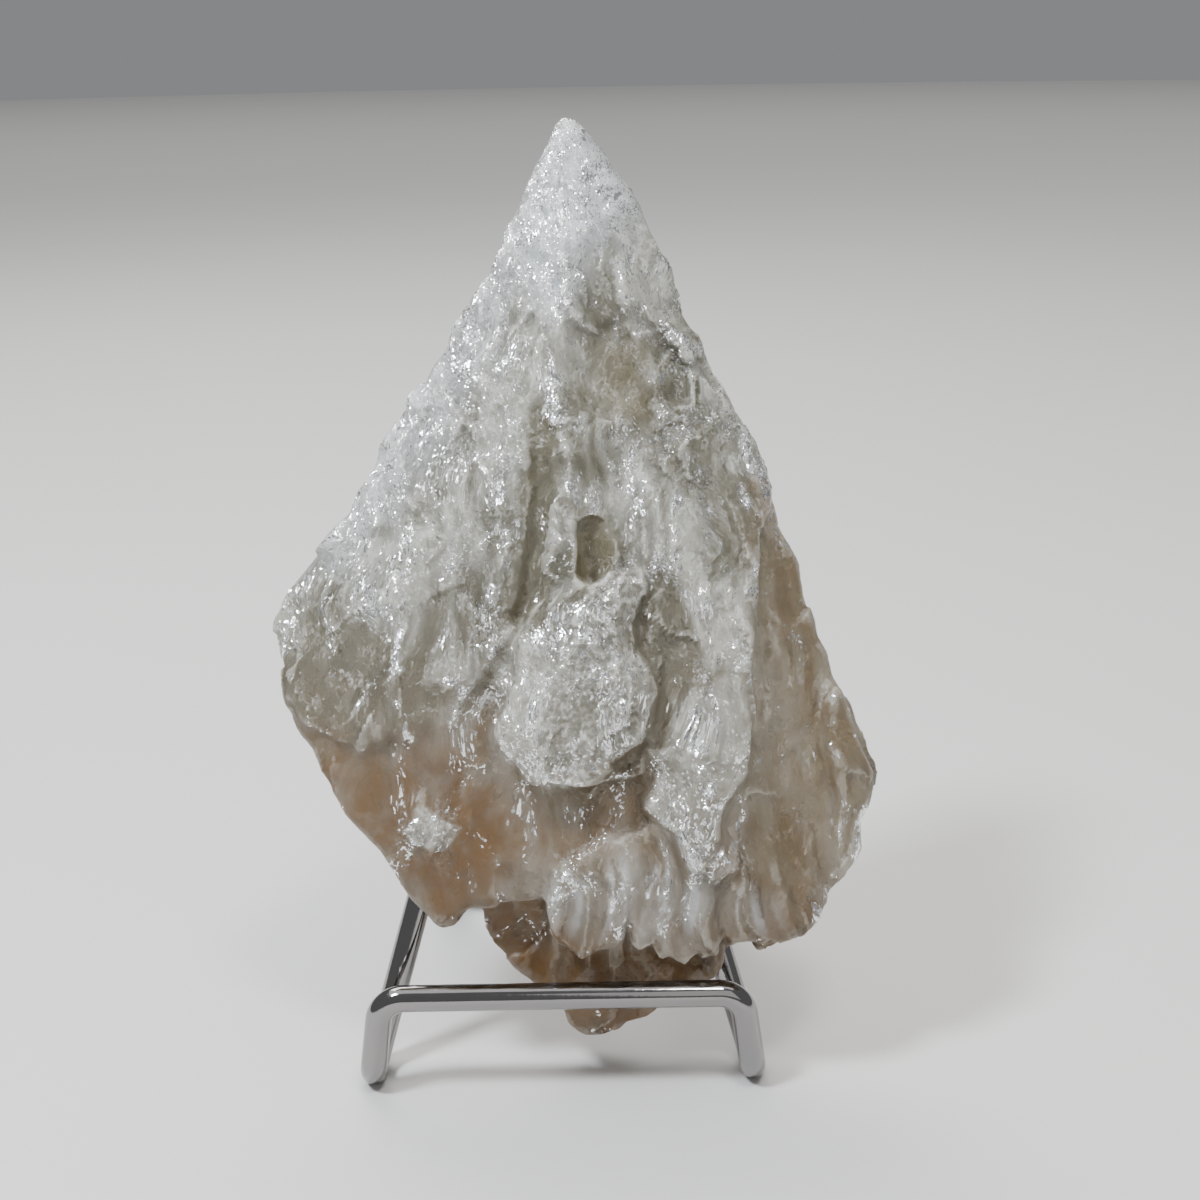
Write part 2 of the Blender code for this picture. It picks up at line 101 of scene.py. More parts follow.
# The broken surface, in millimetres along the growth lines
SHARD_SIZE = 4.2
SHARD_HEIGHT = 0.24
SHARD_STEP = 0.35
SPLINTER_SIZE = 1.5
SPLINTER_HEIGHT = 0.13
SPLINTER_SHIFT = (40, 9, 3)
LINE_PITCH = (1.3, 0.5)
LINE_HEIGHT = 0.07
FLUTE_PITCH = (0.95, 0.08)
FLUTE_DEPTH = 0.7
FLUTE_LIFT = 0.15
GRIT_SIZE = 0.9
GRIT_HEIGHT = 0.025
FROST_GRIT = 0.11
STREAK_PITCH = (1.15, 0.10)
CLOUD_SIZE = 9.0
CLOUD_STREAK_SIZE = 1.8
CLOUD_STREAK_STRETCH = 0.4
CLUSTER_SIZE = 2.9
MOTTLE_SIZE = 2.0
MOTTLE_SHARE = 0.35
MASK_WANDER = 1.1
MASK_WANDER_SIZE = 5

# Scales of the stone's textures: the grain per metre, the others per millimetre of growth
GRAIN_SCALE = 1700.0
RAGGED_SCALE = 1.6
RAGGED_SHARE = 1.1
PLATE_SCALE = 0.85
CHIP_SCALE = 5.0

# The weld beads, in millimetres
WELD_HALF = (1.9, 2.1, 2.4)
WELD_SWELL = 0.10
WELD_MARK = (2.2, 4.2)

# The stage: metres for the floor and the lights, millimetres for the camera
FLOOR_RADIUS = 3.0
FLOOR_SIDES = 96
STONE_MIDDLE = (0.0, 0.0, 0.05)
CAMERA_PLACE = (5.13, -180.9, 116.3)
CAMERA_PITCH = radians(72.0)
CAMERA_ROLL = radians(-1.0)
CAMERA_LENS = 54.0
LIGHTS = (
    # name, place, the point it faces, size, the setting of its power, colour
    ("ceiling light", (0.0, 0.9, 1.9), (0.0, 0.7, 0.0), 3.0, "ceiling_power", (1.0, 1.0, 1.0)),
    ("back light", (-0.16, 0.42, 0.62), STONE_MIDDLE, 0.40, "back_power", (1.0, 0.985, 0.96)),
    ("top left light", (-0.26, -0.16, 0.50), STONE_MIDDLE, 0.09, "glint_power", (0.88, 0.94, 1.0)),
    ("top light", (0.10, -0.22, 0.56), STONE_MIDDLE, 0.10, "top_power", (1.0, 0.99, 0.97)),
    ("front light", (0.25, -0.62, 0.42), STONE_MIDDLE, 0.55, "front_power", (1.0, 0.99, 0.98)),
)

# Places on the slab, as outlines of (across, up)
TIP = [(-7.0, 90.0), (-1.6, 108.0), (4.0, 108.0), (9.0, 96.0), (3.0, 90.0), (-1.0, 84.0)]
UPPER_LEFT = [
    (-3.0, 92.0), (-8.0, 97.0), (-20.0, 78.0), (-30.0, 60.0), (-24.0, 56.0),
    (-14.0, 68.0), (-7.0, 80.0),
]
LUMP = [
    (7.4, 56.1), (9.1, 54.0), (7.2, 49.4), (9.2, 44.6), (10.2, 42.4), (8.9, 37.7),
    (6.5, 35.5), (3.3, 33.5), (1.0, 32.0), (-1.6, 31.8), (-3.8, 33.4), (-5.6, 36.4),
    (-6.8, 38.2), (-5.2, 42.4), (-3.6, 47.0), (-0.4, 52.4), (2.9, 55.0),
]
LOWER_LOBE = [
    (-32.0, 40.0), (-22.0, 36.5), (-14.0, 38.0), (-8.0, 40.0), (-6.0, 34.0), (0.0, 29.0),
    (9.0, 33.0), (11.0, 28.0), (4.0, 24.0), (-1.0, 22.0), (-8.0, 17.0), (-14.0, 13.0),
    (-22.0, 20.0), (-30.0, 30.0),
]
TONGUE = [
    (-9.4, 20.0), (-8.8, 13.0), (0.0, 0.0), (8.0, 0.0), (20.0, 8.0), (26.0, 13.0),
    (4.0, 13.0), (-0.6, 19.0),
]
FRINGE = [
    (-1.6, 21.0), (-1.2, 14.0), (2.0, 11.0), (14.0, 10.0), (24.0, 12.0), (24.0, 18.0),
    (17.0, 23.0), (8.0, 24.0),
]
UPPER_WINDOW = [
    (3.2, 76.0), (3.6, 80.4), (6.0, 82.6), (9.6, 80.6), (10.6, 75.4), (8.8, 71.4), (5.0, 71.6),
]
OLIVE_PIT = [(1.4, 61.6), (4.8, 62.2), (6.4, 57.6), (5.0, 54.4), (1.2, 53.2)]
TROUGH = [
    (-3.4, 74.0), (-0.4, 75.0), (-0.7, 62.0), (-1.9, 53.0), (-4.6, 46.0), (-5.6, 51.0),
    (-3.6, 60.0),
]
BLADE = [
    (9.8, 30.0), (10.9, 34.8), (12.0, 42.0), (20.6, 42.0), (20.8, 36.8), (19.2, 32.2),
    (17.6, 29.2), (16.8, 26.2), (15.4, 22.2), (12.4, 26.2),
]
FAR_RIGHT = [
    (21.6, 62.0), (26.0, 61.0), (36.0, 36.0), (36.0, 28.0), (32.0, 20.0), (22.0, 22.0),
    (20.8, 34.0),
]
STAIN = [(20.0, 65.6), (22.2, 67.8), (25.0, 65.0), (25.0, 61.4), (22.6, 60.4), (21.0, 62.4)]
CHIP = [(-17.4, 27.0), (-15.2, 30.8), (-11.2, 27.6), (-13.2, 24.4), (-16.6, 25.2)]


def upright_place(length):
    """A point of the right upright's middle line, this far up from where it meets the floor line."""
    foot = Vector((FOOT_HALF, FOOT_BACK, FLOOR_LINE))
    return foot + Vector((-UPRIGHT_INWARD, sin(LEAN), cos(LEAN))) * length


def rounded(before, corner, after, radius):
    """Points of the arc that rounds a corner of the wire."""
    into, out = (before - corner).normalized(), (after - corner).normalized()
    half = into.angle(out) / 2
    middle = corner + (into + out).normalized() * (radius / sin(half))
    start = corner + into * (radius / tan(half)) - middle
    turn = Quaternion(into.cross(out), -(pi - 2 * half) / BEND_STEPS)
    arc = [middle + start]
    for _ in range(BEND_STEPS):
        start = turn @ start
        arc.append(middle + start)
    return arc


def wire_path(places, radii):
    """The wire's middle line through its corners, each rounded, from the first place to the last."""
    path = [places[0]]
    for before, corner, after, radius in zip(places, places[1:], places[2:], radii):
        path += rounded(before, corner, after, radius)
    return path + [places[-1]]


def mirrored(half_path):
    """The left half of a wire that runs on from its right half."""
    return [Vector((-place.x, place.y, place.z)) for place in reversed(half_path)]


def front_loop_path():
    """The front loop, once round, from the middle of its bar."""
    arch = upright_place(UPRIGHT_LENGTH)
    places = [
        Vector((0, FOOT_FRONT, BAR_HEIGHT)),
        Vector((BAR_HALF, FOOT_FRONT, BAR_HEIGHT)),
        Vector((FOOT_HALF, FOOT_FRONT, FLOOR_LINE)),
        upright_place(0),
        arch,
        Vector((0, arch.y, arch.z)),
    ]
    half = wire_path(places, [BAR_BEND, FOOT_BEND, FOOT_BEND, ARCH_BEND])
    return half + mirrored(half)[1:-1]


def back_leg_path():
    """The back leg, from its weld on the right upright to its weld on the left one."""
    corner = Vector((LEG_HALF, LEG_REACH, FLOOR_LINE))
    end = Vector((0, LEG_REACH, FLOOR_LINE))
    half = wire_path([upright_place(LEG_JOIN), corner, end], [LEG_BEND])
    return half + mirrored(half)[1:]


def easel_shift():
    """From the easel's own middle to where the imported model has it, in millimetres."""
    low, high = (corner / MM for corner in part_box("easel_front_loop"))
    leg_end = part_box("easel_back_leg")[1].y / MM
    return Vector(((low.x + high.x) / 2, leg_end - LEG_REACH - WIRE / 2, -FOOT_FLAT))


def stone_matrix():
    """Takes a place on the slab, in millimetres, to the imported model's frame, in metres."""
    middle = Vector((TWIST_PLACE[0], 0.0, TWIST_PLACE[1]))
    twist = Matrix.Translation(middle) @ Matrix.Rotation(TWIST, 4, "Y") @ Matrix.Translation(-middle)
    stand = Matrix.Translation(Vector((0, FOOT_BACK, FLOOR_LINE)) + easel_shift())
    return Matrix.Scale(MM, 4) @ stand @ Matrix.Rotation(-LEAN, 4, "X") @ twist


class Number:
    """A number in a material, so that its Math nodes are written as sums in Python."""

    def __init__(self, recipe, socket):
        self.recipe = recipe
        self.socket = socket

    def worked(self, operation, *values):
        node = self.recipe.node("ShaderNodeMath", {"operation": operation}, dict(enumerate(values)))
        return Number(self.recipe, node.outputs[0])

    def __add__(self, other):
        return self.worked("ADD", self, other)

    def __sub__(self, other):
        return self.worked("SUBTRACT", self, other)

    def __rsub__(self, other):
        return self.worked("SUBTRACT", other, self)

    def __mul__(self, other):
        return self.worked("MULTIPLY", self, other)

    __radd__ = __add__
    __rmul__ = __mul__

    def larger(self, other):
        return self.worked("MAXIMUM", self, other)

    def above(self, low, high):
        """0 up to low, 1 from high, and smooth between them."""
        settings = {"interpolation_type": "SMOOTHSTEP"}
        values = {"Value": self, "From Min": low, "From Max": high}
        node = self.recipe.node("ShaderNodeMapRange", settings, values)
        return Number(self.recipe, node.outputs[0])


class Recipe:
    """The nodes of one material."""

    def __init__(self, name):
        self.material = bpy.data.materials.new(name)
        self.material.use_nodes = True
        self.tree = self.material.node_tree
        self.tree.nodes.clear()
        self.place = self.node("ShaderNodeTexCoord", {}, {}).outputs["Object"]

    def node(self, kind, settings, values):
        made = self.tree.nodes.new(kind)
        for name, setting in settings.items():
            setattr(made, name, setting)
        for name, value in values.items():
            socket = made.inputs[name]
            if isinstance(value, Number):
                value = value.socket
            if isinstance(value, bpy.types.NodeSocket):
                self.tree.links.new(value, socket)
            else:
                socket.default_value = value
        return made

    def attribute(self, name):
        node = self.node("ShaderNodeAttribute", {"attribute_name": name}, {})
        return Number(self, node.outputs["Fac"])

    def vector_attribute(self, name):
        return self.node("ShaderNodeAttribute", {"attribute_name": name}, {}).outputs["Vector"]

    def clouds(self, place, scale, detail=3.0, roughness=0.55):
        values = {"Vector": place, "Scale": scale, "Detail": detail, "Roughness": roughness}
        return Number(self, self.node("ShaderNodeTexNoise", {}, values).outputs["Fac"])

    def cells(self, place, scale, output):
        return self.node("ShaderNodeTexVoronoi", {}, {"Vector": place, "Scale": scale}).outputs[output]

    def part(self, colour, index):
        """One of the three numbers of a colour."""
        return Number(self, self.node("ShaderNodeSeparateColor", {}, {0: colour}).outputs[index])

    def vector_sum(self, operation, first, second=(0.0, 0.0, 0.0)):
        return self.node("ShaderNodeVectorMath", {"operation": operation}, {0: first, 1: second}).outputs[0]

    def scaled(self, vector, share):
        node = self.node("ShaderNodeVectorMath", {"operation": "SCALE"}, {0: vector, "Scale": share})
        return node.outputs[0]

    def blend(self, share, first, second):
        """A colour between two, the second where share is 1."""
        node = self.node("ShaderNodeMix", {"data_type": "RGBA"}, {0: share, 6: first, 7: second})
        return node.outputs[2]

    def bump(self, height, strength, distance, normal=None):
        values = {"Height": height, "Strength": strength, "Distance": distance}
        if normal is not None:
            values["Normal"] = normal
        return self.node("ShaderNodeBump", {}, values).outputs["Normal"]

    def finish(self, values, volume=None):
        shader = self.node("ShaderNodeBsdfPrincipled", {}, values)
        surface = {"Surface": shader.outputs["BSDF"]}
        if volume is not None:
            surface["Volume"] = volume.outputs["Volume"]
        self.node("ShaderNodeOutputMaterial", {}, surface)
        return self.material


def opaque(colour):
    return (*colour, 1.0)


def quartz_material(settings):
    """Milky quartz: clear in its windows, frosted and given a painted highlight on its edges, with a painted
    sheen near the tip and broken facets that glint.
    """
    recipe = Recipe("milky quartz")
    growth = recipe.vector_attribute("growth")
    milk, frost, warm, clear, stain, sheen, relief, cluster = (
        recipe.attribute(name)
        for name in ("milk", "frost", "warm", "clear", "stain", "sheen", "relief", "cluster")
    )
    grain = recipe.clouds(recipe.place, GRAIN_SCALE)
    shake = recipe.node("ShaderNodeTexNoise", {}, {"Vector": growth, "Scale": RAGGED_SCALE, "Detail": 2.0})
    ragged = recipe.vector_sum("ADD", growth, recipe.scaled(shake.outputs["Color"], RAGGED_SHARE))
    plate = recipe.cells(ragged, PLATE_SCALE, "Color")
    chip = recipe.cells(ragged, CHIP_SCALE, "Color")
    plate_chance, chip_chance = recipe.part(plate, 0), recipe.part(chip, 0)

    body = recipe.blend(milk, opaque(settings.body_colour), opaque(settings.cloud_colour))
    # The warm brown is partly the stone's own tint, partly painted brown light seen through its low parts.
    body = recipe.blend(warm, body, opaque(settings.warm_colour))
    body = recipe.blend(clear, body, opaque(settings.window_colour))
    # Painted highlight: a cool bluish-white sheen painted into the colour of the tip, the upper left edge
    # and the fringe.
    body = recipe.blend(sheen * 0.8, body, opaque(settings.painted_sheen_colour))
    # Convex ridges turn whiter: partly frosted broken edges, partly a painted highlight along them.
    ridge_frost_and_highlight = relief.above(0.25, 1.0) * (1.0 - warm * 0.55)
    frost_and_ridge_highlight = ridge_frost_and_highlight * 0.45 + frost * (grain.above(0.35, 0.75) * 0.5 + 0.2)
    body = recipe.blend(frost_and_ridge_highlight.above(0.0, 1.0), body, opaque(settings.frost_colour))
    speck = grain.above(0.64, 0.70) * cluster * (warm * 0.8 + 0.2) * (1.0 - sheen)
    body = recipe.blend(speck * 0.6, body, opaque(settings.speck_colour))
    rusty = stain * (grain.above(0.38, 0.62) * 0.4 + 0.2)
    body = recipe.blend(rusty, body, opaque(settings.stain_colour))
    broken = 1.0 - clear * 0.75 - warm * 0.75
    likely = sheen * 0.12 + ridge_frost_and_highlight * 0.18 + frost * 0.12 + cluster * 0.36 + milk * 0.10 - (1.0 - broken) * 0.42
    glint = (chip_chance + likely).above(1.02, 1.08)
    sheet = (plate_chance + likely * 0.7 + sheen * 0.07).above(1.09, 1.13) * grain.above(0.36, 0.50)
    flash = glint.larger(sheet)
    body = recipe.blend(flash, body, opaque(settings.flash_colour))

    centre = (0.5, 0.5, 0.5)
    tilt = recipe.scaled(recipe.vector_sum("SUBTRACT", plate, centre), broken * 0.75)
    chip_tilt = broken * (cluster * 0.5 + 0.5) + 0.15
    small_tilt = recipe.scaled(recipe.vector_sum("SUBTRACT", chip, centre), chip_tilt)
    normal = recipe.node("ShaderNodeNewGeometry", {}, {}).outputs["Normal"]
    tilted = recipe.vector_sum("ADD", recipe.vector_sum("ADD", normal, tilt), small_tilt)
    normal = recipe.bump(grain, 0.45, 0.0002, recipe.vector_sum("NORMALIZE", tilted))
    roughness = 0.30 + grain * 0.28 - clear * 0.1 - sheen * 0.1 - flash * 0.26
    volume = recipe.node(
        "ShaderNodeVolumeAbsorption",
        {},
        {"Color": opaque(settings.depth_colour), "Density": settings.depth_density},
    )
    return recipe.finish(
        {
            "Base Color": body,
            "Metallic": flash * 0.9,
            "Roughness": roughness,
            "IOR": settings.refraction,
            "Transmission Weight": settings.see_through,
            "Subsurface Weight": settings.milk,
            "Subsurface Radius": (1.0, 0.96, 0.84),
            "Subsurface Scale": settings.milk_depth,
            "Specular IOR Level": 0.6,
            "Normal": normal,
        },
        volume,
    )


def chrome_material(settings):
    """Bright plating with faint wear, darker where it is welded."""
    recipe = Recipe("chrome wire")
    haze = recipe.clouds(recipe.place, 160.0, 4.0)
    smear = recipe.clouds(recipe.place, 900.0, 3.0)
    pits = Number(recipe, recipe.cells(recipe.place, 1500.0, "Distance"))
    pitted = (1.0 - pits.above(0.08, 0.16)) * haze.above(0.55, 0.66)
    weld = recipe.attribute("weld")
    plating, tarnish = opaque(settings.chrome_colour), opaque(settings.tarnish_colour)
    body = recipe.blend(haze.above(0.35, 0.7) * 0.4, plating, tarnish)
    body = recipe.blend(weld * 0.6 + pitted * 0.6, body, opaque(settings.weld_colour))
    roughness = 0.03 + haze * 0.08 + smear * 0.04 + weld * 0.22 + pitted * 0.3
    height = smear * 0.4 + weld * smear * 3.0 - pitted
    normal = recipe.bump(height, 0.22, 0.00012)
    return recipe.finish({"Base Color": body, "Metallic": 1.0, "Roughness": roughness, "Normal": normal})


def floor_material(settings):
    recipe = Recipe("pale floor")
    cloud = recipe.clouds(recipe.place, 9.0, 1.0)
    body = recipe.blend(cloud, opaque(settings.floor_colour), opaque(settings.floor_shade))
    return recipe.finish({"Base Color": body, "Roughness": 0.62})


def outline_depth(points, outline):
    """How far inside an outline each (across, up) point lies, in millimetres, negative outside."""
    corners = np.array(outline)
    nearest = np.full(len(points), np.inf)
    inside = np.zeros(len(points), bool)
    for start, end in zip(corners, np.roll(corners, -1, axis=0)):
        side = end - start
        along = np.clip(((points - start) @ side) / (side @ side), 0.0, 1.0)
        nearest = np.minimum(nearest, np.linalg.norm(points - start - along[:, None] * side, axis=1))
        rises = (start[1] > points[:, 1]) != (end[1] > points[:, 1])
        height = side[1] if side[1] else 1e-9
        crossing = start[0] + (points[:, 1] - start[1]) * side[0] / height
        inside ^= rises & (points[:, 0] < crossing)
    return np.where(inside, nearest, -nearest)


def eased(value, low, high):
    """A smooth step from 0 at low to 1 at high."""
    share = np.clip((value - low) / (high - low), 0.0, 1.0)
    return share * share * (3 - 2 * share)


def patch(points, outline, soft):
    """1 inside an outline and 0 outside it, fading over a soft edge in millimetres."""
    return eased(outline_depth(points, outline), -soft, soft)


def corners_of(mesh):
    places = np.zeros(len(mesh.vertices) * 3)
    mesh.vertices.foreach_get("co", places)
    return places.reshape(-1, 3)


def normals_of(mesh):
    normals = np.zeros(len(mesh.vertices) * 3)
    mesh.vertex_normals.foreach_get("vector", normals)
    return normals.reshape(-1, 3)


def edges_of(mesh):
    ends = np.zeros(len(mesh.edges) * 2, int)
    mesh.edges.foreach_get("vertices", ends)
    return ends.reshape(-1, 2)


def neighbours_mean(values, ends):
    """The mean of each corner's neighbours along the mesh's edges."""
    count = len(values)
    total = np.zeros_like(values)
    for axis in range(values.shape[1]):
        total[:, axis] += np.bincount(ends[:, 0], weights=values[ends[:, 1], axis], minlength=count)
        total[:, axis] += np.bincount(ends[:, 1], weights=values[ends[:, 0], axis], minlength=count)
    return total / np.bincount(ends.ravel(), minlength=count)[:, None]


def eased_places(places, ends):
    """The mesh's corners with its flat faces eased into each other, without shrinking it."""
    for _ in range(EASE_ROUNDS):
        for share in EASE_SHARES:
            places = places + (neighbours_mean(places, ends) - places) * share
    return places


def growth_place(slab):
    """Where points lie in the fan of growth lines: across it, along it and through the slab."""
    side, drop = slab[:, 0] - FAN_TOP[0], FAN_TOP[1] - slab[:, 1]
    turn, reach = np.arctan2(side, drop), np.hypot(side, drop)
    spread = np.sqrt(reach / FAN_RADIUS)
    wander = np.array([tuple(noise.noise_vector(Vector(place) / FAN_WANDER_SIZE)) for place in slab])
    fan = np.stack([turn * spread, 2 * spread * FAN_STRETCH], axis=1) * FAN_RADIUS
    return np.hstack([fan, slab[:, 2:]]) + wander * FAN_WANDER


def shard_height(place, size):
    """How far a broken shard stands out: each cell of the stone is a small tilted plane."""
    centre = noise.voronoi(place / size)[1][0]
    tilt = noise.cell_vector(centre * 57.0) - Vector((0.5, 0.5, 0.5))
    return (place / size - centre).dot(tilt) * size + tilt.z * size * SHARD_STEP


def detail_height(growth, place, mask):
    """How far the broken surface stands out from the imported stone, in millimetres."""
    frost, calm, fringe = mask
    spot = Vector(growth)
    coarse = shard_height(spot, SHARD_SIZE) * SHARD_HEIGHT
    fine = shard_height(spot + Vector(SPLINTER_SHIFT), SPLINTER_SIZE) * SPLINTER_HEIGHT
    line = noise.noise(Vector((growth[0] * LINE_PITCH[0], growth[1] * LINE_PITCH[1], 5.0)))
    grit = noise.fractal(Vector(place) / GRIT_SIZE, 0.9, 2.1, 4)
    flute = abs(noise.noise(Vector((growth[0] * FLUTE_PITCH[0], growth[1] * FLUTE_PITCH[1], 2.0))))
    broken = (coarse + fine + line * LINE_HEIGHT) * calm
    grit_height = grit * (GRIT_HEIGHT + FROST_GRIT * frost)
    return broken + grit_height - flute * fringe * FLUTE_DEPTH + fringe * FLUTE_LIFT


def wire_clearance(points, path, closed, reach):
    """Moves points out of the space that a wire takes, straight away from its middle line."""
    line = np.array([tuple(place) for place in path])
    if closed:
        line = np.vstack([line, line[:1]])
    for start, end in zip(line, line[1:]):
        side = end - start
        along = np.clip(((points - start) @ side) / (side @ side), 0.0, 1.0)
        away = points - start - along[:, None] * side
        far = np.linalg.norm(away, axis=1)
        near = far < reach
        points[near] += away[near] * ((reach / far[near]) - 1)[:, None]
    return points


def stone_masks(slab):
    """What each point of the stone is like: how frosted, warm, clear and stained, and how much painted sheen
    it gets, from 0 to 1.
    """
    spot = slab[:, :2]
    front = eased(slab[:, 2], 1.0, 4.0)
    wander = np.array([tuple(noise.noise_vector(Vector((a, u, 0.0)) / MASK_WANDER_SIZE)) for a, u in spot])
    spot = spot + wander[:, :2] * MASK_WANDER
    frost = np.maximum(patch(spot, LUMP, 0.5), patch(spot, CHIP, 0.3)) * front
    blade = patch(slab[:, :2], BLADE, 0.5) * front
    frost = np.maximum(frost, blade * 0.45)
    fringe = patch(spot, FRINGE, 2.2) * front
    warm = np.maximum(patch(spot, LOWER_LOBE, 6.0) * 0.95, patch(spot, TONGUE, 1.0))
    # Browner and darker towards the bottom: partly the stone's own brown, partly painted brown light seen
    # through it from below.
    warm = np.maximum(warm, eased(62.0 - slab[:, 1], 0.0, 55.0) * 0.75)
    warm = np.maximum(warm, patch(spot, FAR_RIGHT, 4.0) * 0.7)
    warm = warm * (1.0 - fringe * 0.35 * eased(spot[:, 1], 14.0, 20.0))
    clear = np.maximum(patch(spot, UPPER_WINDOW, 2.2) * 0.85, patch(spot, OLIVE_PIT, 1.2) * 0.9)
    clear = np.maximum(clear, patch(spot, TROUGH, 1.2) * 0.4)
    clear = np.maximum(clear, patch(spot, FAR_RIGHT, 1.5) * 0.3) * front
    calm = 1.0 - np.maximum(clear * 0.75, patch(spot, LOWER_LOBE, 2.0) * 0.6)
    reach = np.hypot(spot[:, 0] - FAN_TOP[0], FAN_TOP[1] - spot[:, 1])
    calm = calm * (1.0 - frost * 0.5) * eased(reach, 5.0, 45.0)
    # The tip and the upper left edge get a painted highlight, a cool sheen painted into their colour.
    painted_sheen_zone = np.maximum(patch(spot, TIP, 3.0), patch(spot, UPPER_LEFT, 2.5) * 0.7)
    return {
        "frost": frost,
        "warm": warm * (1.0 - frost * 0.7) * (1.0 - blade * 0.4),
        "clear": clear,
        "stain": patch(spot, STAIN, 1.0) * front,
        "sheen": painted_sheen_zone + fringe * eased(spot[:, 1], 13.0, 19.0) * 0.12,
        "pit": patch(slab[:, :2], OLIVE_PIT, 1.0) * front,
        "fringe": fringe,
        "calm": calm,
    }


def milk_share(growth):
    """How milky the stone is at each point: slow clouds with streaks along the growth lines."""
    shares = []
    for place in growth:
        spot = Vector(place)
        cloud = noise.fractal(spot / CLOUD_SIZE, 1.0, 2.0, 4)
        spot.y *= CLOUD_STREAK_STRETCH
        streak = noise.fractal(spot / CLOUD_STREAK_SIZE, 1.0, 2.0, 3)
        shares.append(cloud * 0.9 + streak * 0.45)
    return eased(np.array(shares), -0.32, 0.42)


def cloud_share(growth, size, low, high):
    """Ragged clouds, 0 up to low and 1 from high, both counted in the clouds' own usual swing."""
    heights = np.array([noise.fractal(Vector(place) / size, 0.86, 2.0, 5) for place in growth])
    return eased((heights - heights.mean()) / heights.std(), low, high)


def painted_highlight_streaks(growth):
    """Fine painted highlight streaks that run along the growth lines."""
    across, along = STREAK_PITCH
    heights = [noise.noise(Vector((place[0] * across, place[1] * along, 7.0))) for place in growth]
    return eased(np.array(heights), 0.02, 0.30)


def remeshed_copy(node, voxel):
    """An even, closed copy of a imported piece."""
    shape = bmesh.new()
    shape.from_mesh(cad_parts[node].data)
    bmesh.ops.remove_doubles(shape, verts=shape.verts, dist=1e-6)
    mesh = bpy.data.meshes.new(node + " copy")
    shape.to_mesh(mesh)
    shape.free()
    piece = bpy.data.objects.new(node + " copy", mesh)
    bpy.context.scene.collection.objects.link(piece)
    even = piece.modifiers.new("even faces", "REMESH")
    even.mode = "VOXEL"
    even.voxel_size = voxel
    bpy.context.view_layer.update()
    graph = bpy.context.evaluated_depsgraph_get()
    made = bpy.data.meshes.new_from_object(piece.evaluated_get(graph))
    bpy.data.objects.remove(piece)
    bpy.data.meshes.remove(mesh)
    return made


def add_numbers(mesh, name, values):
    attribute = mesh.attributes.new(name, "FLOAT", "POINT")
    attribute.data.foreach_set("value", values.astype(np.float32))


def add_vectors(mesh, name, values):
    attribute = mesh.attributes.new(name, "FLOAT_VECTOR", "POINT")
    attribute.data.foreach_set("vector", values.astype(np.float32).ravel())


def break_surface(mesh, settings):
    """Gives the stone's copy its shards, growth lines and grit, and notes what each point is like."""
    to_frame = np.array(stone_matrix())
    to_slab = np.linalg.inv(to_frame)
    ends = edges_of(mesh)
    places = eased_places(corners_of(mesh), ends)
    mesh.vertices.foreach_set("co", places.ravel())
    mesh.update()
    local = places @ to_slab[:3, :3].T + to_slab[:3, 3]
    slab = np.stack([local[:, 0], local[:, 2], -local[:, 1]], axis=1)
    growth = growth_place(slab)
    masks = stone_masks(slab)
    # The fringe's bright bluish-white streaks are painted highlights, added to the painted sheen.
    painted_fringe_highlights = masks["fringe"] * painted_highlight_streaks(growth) * eased(slab[:, 1], 14.0, 18.0)
    masks["sheen"] = np.maximum(masks["sheen"], painted_fringe_highlights * 0.6)
    chosen = zip(*(masks[name] for name in ("frost", "calm", "fringe")))
    heights = [detail_height(spot, place, mask) for spot, place, mask in zip(growth, slab, chosen)]
    places += normals_of(mesh) * (np.array(heights) * settings.detail * MM)[:, None]
    places -= to_frame[:3, 1] * (masks["pit"] * PIT_FILL)[:, None]
    points = places / MM
    shift = np.array(easel_shift())
    reach = WIRE / 2 + WIRE_CLEARANCE
    points = wire_clearance(points - shift, front_loop_path(), True, reach) + shift
    mesh.vertices.foreach_set("co", (points * MM).ravel())
    mesh.update()
    # How far each point stands out; ridges get frost and a painted highlight from it.
    mean = points
    for _ in range(RELIEF_ROUNDS):
        mean = neighbours_mean(mean, ends)
    relief = np.einsum("ij,ij->i", points - mean, normals_of(mesh)) / RELIEF_UNIT
    add_numbers(mesh, "relief", np.clip(relief, -1.0, 1.0))
    mottle = cloud_share(growth, MOTTLE_SIZE, -2.2, 1.8)
    masks["warm"] = masks["warm"] * (mottle * MOTTLE_SHARE + 1.0 - MOTTLE_SHARE)
    for name in ("frost", "warm", "clear", "stain", "sheen"):
        add_numbers(mesh, name, masks[name])
    add_numbers(mesh, "milk", milk_share(growth))
    add_numbers(mesh, "cluster", cloud_share(growth, CLUSTER_SIZE, -0.36, 1.6))
    add_vectors(mesh, "growth", growth)


def add_piece(name, mesh, material, node):
    piece = bpy.data.objects.new(name, mesh)
    bpy.context.scene.collection.objects.link(piece)
    mesh.materials.clear()
    mesh.materials.append(material)
    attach(piece, "root")
    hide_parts(node)
    return piece


def build_stone(settings):
    noise.seed_set(NOISE_SEED)
    mesh = remeshed_copy("quartz_point", settings.voxel)
    break_surface(mesh, settings)
    mesh.shade_smooth()
    add_piece("quartz_stone", mesh, quartz_material(settings), "quartz_point")


